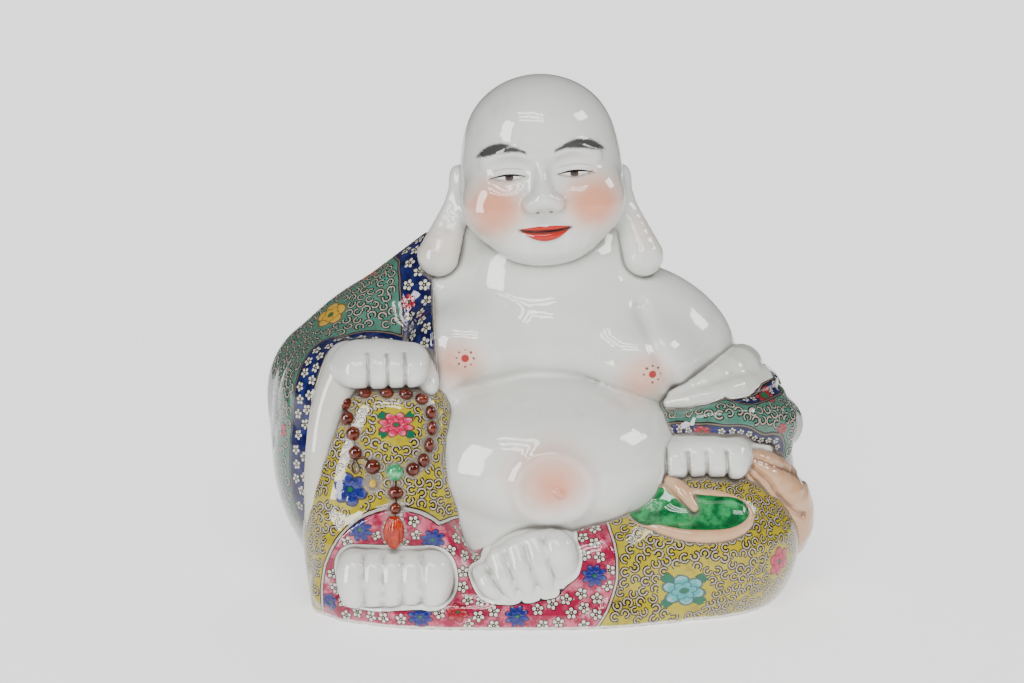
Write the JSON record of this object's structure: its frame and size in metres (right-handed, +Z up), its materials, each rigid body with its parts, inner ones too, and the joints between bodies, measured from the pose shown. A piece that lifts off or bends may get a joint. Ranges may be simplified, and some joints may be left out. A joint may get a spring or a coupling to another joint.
{
  "type": "hotei figure",
  "caption": "Seated monk figure in enamelled porcelain, bare-bellied, one knee raised, with rosary, patterned robe and open sack; it stands on its flat underside.",
  "frame": {"origin": "on the flat underside, at Z = 0, under the middle of the body", "axes": "+Z up, -Y the way the figure faces, +X to the figure's left"},
  "size_m": [0.2852, 0.1928, 0.2699],
  "materials": {
    "porcelain": null
  },
  "bodies": {
    "root": {"hotei_figure": "porcelain"}
  },
  "joints": []
}
